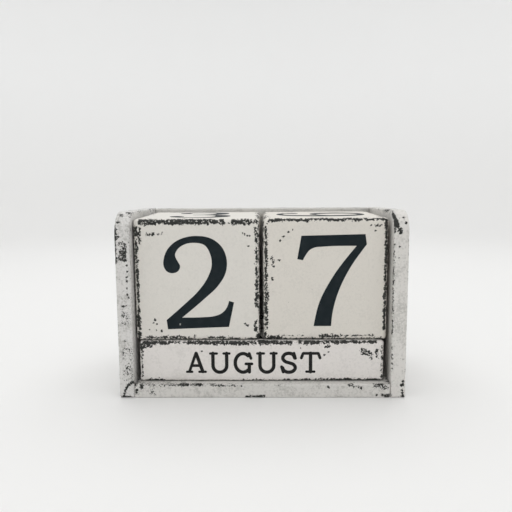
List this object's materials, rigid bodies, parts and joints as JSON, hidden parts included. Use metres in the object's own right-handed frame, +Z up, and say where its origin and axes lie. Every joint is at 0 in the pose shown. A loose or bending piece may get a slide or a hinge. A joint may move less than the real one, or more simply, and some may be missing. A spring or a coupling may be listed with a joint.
{
  "type": "perpetual block calendar",
  "caption": "Open-fronted painted wood frame holding two rounded number cubes for the day above loose square month bars.",
  "frame": {"origin": "on the surface that the calendar stands on, under the middle of its box", "axes": "+X to the reader's right along the frame's width, +Y from the open front to the back board, +Z up"},
  "size_m": [0.1504, 0.0782, 0.098],
  "materials": {
    "frame_paint": "warm grey-white distressed paint over a black undercoat, satin",
    "cube_paint": "off-white distressed paint over a black undercoat, edges worn through, satin",
    "bar_paint": "off-white distressed paint over a black undercoat, edges worn through, satin",
    "number_paint": "near-black slate paint film, satin",
    "pin_steel": "dull steel panel pin, painted over"
  },
  "bodies": {
    "frame": {"left_side_board": "frame_paint", "right_side_board": "frame_paint", "bottom_board": "frame_paint", "back_board": "frame_paint", "left_bottom_pin_1": "pin_steel", "left_bottom_pin_2": "pin_steel", "left_back_pin_1": "pin_steel", "left_back_pin_2": "pin_steel", "left_back_pin_3": "pin_steel", "right_bottom_pin_1": "pin_steel", "right_bottom_pin_2": "pin_steel", "right_back_pin_1": "pin_steel", "right_back_pin_2": "pin_steel", "right_back_pin_3": "pin_steel", "rear_bottom_pin_1": "pin_steel", "rear_bottom_pin_2": "pin_steel", "rear_bottom_pin_3": "pin_steel"},
    "tens_cube": {"tens_cube": "cube_paint"},
    "units_cube": {"units_cube": "cube_paint"},
    "month_bar_front": {"month_bar_front": "bar_paint"},
    "month_bar_middle": {"month_bar_middle": "bar_paint"},
    "month_bar_rear": {"month_bar_rear": "bar_paint"}
  },
  "joints": [
    {"name": "tens_cube_lift", "type": "slide", "parent": "frame", "child": "tens_cube", "axis": [0, 0, 1], "range_m": [0, 0.075]},
    {"name": "units_cube_lift", "type": "slide", "parent": "frame", "child": "units_cube", "axis": [0, 0, 1], "range_m": [0, 0.075]},
    {"name": "front_bar_slide", "type": "slide", "parent": "frame", "child": "month_bar_front", "axis": [0, -1, 0], "range_m": [0, 0.125]},
    {"name": "middle_bar_slide", "type": "slide", "parent": "frame", "child": "month_bar_middle", "axis": [0, -1, 0], "range_m": [0, 0.1]},
    {"name": "rear_bar_slide", "type": "slide", "parent": "frame", "child": "month_bar_rear", "axis": [0, -1, 0], "range_m": [0, 0.075]}
  ],
  "couplings": [
    {"joint": "middle_bar_slide", "follows": "front_bar_slide", "ratio": 0.8},
    {"joint": "rear_bar_slide", "follows": "front_bar_slide", "ratio": 0.6}
  ]
}
